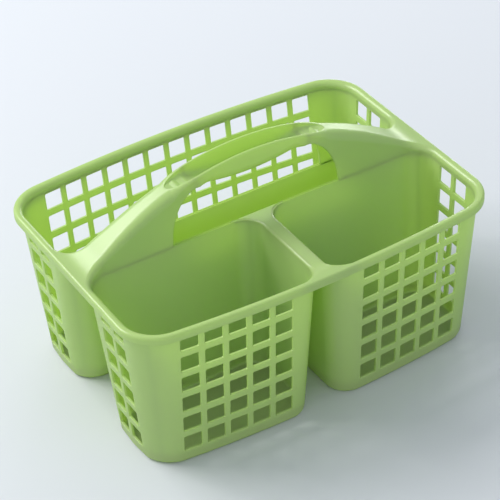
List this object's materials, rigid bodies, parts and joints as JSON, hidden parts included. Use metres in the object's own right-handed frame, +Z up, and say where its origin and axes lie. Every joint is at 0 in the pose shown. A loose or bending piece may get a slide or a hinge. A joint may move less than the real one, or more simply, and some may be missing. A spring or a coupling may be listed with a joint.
{
  "type": "cleaning caddy",
  "caption": "Carry caddy for cleaning supplies: a long rear bin and two front bins with square-grid walls, a rolled rim and an arched handle over the slot between them",
  "frame": {"origin": "on the floor under the middle of the caddy", "axes": "+Z up, +X along the handle, +Y towards the long rear bin"},
  "size_m": [0.33, 0.2482, 0.1943],
  "materials": {
    "body": "semi-gloss, faintly translucent pastel green moulded polypropylene"
  },
  "bodies": {
    "root": {"rear_bin_tray": "body", "rear_bin_back_grille": "body", "rear_bin_left_end_grille": "body", "rear_bin_right_end_grille": "body", "rear_bin_slot_wall": "body", "left_bin_tray": "body", "left_bin_front_grille": "body", "left_bin_end_grille": "body", "left_bin_slot_wall": "body", "left_bin_divider_wall": "body", "right_bin_tray": "body", "right_bin_front_grille": "body", "right_bin_end_grille": "body", "right_bin_slot_wall": "body", "right_bin_divider_wall": "body", "rim": "body", "middle_bridge": "body", "handle_grip": "body", "handle_left_leg": "body", "handle_right_leg": "body", "left_deck": "body", "right_deck": "body"}
  },
  "joints": []
}
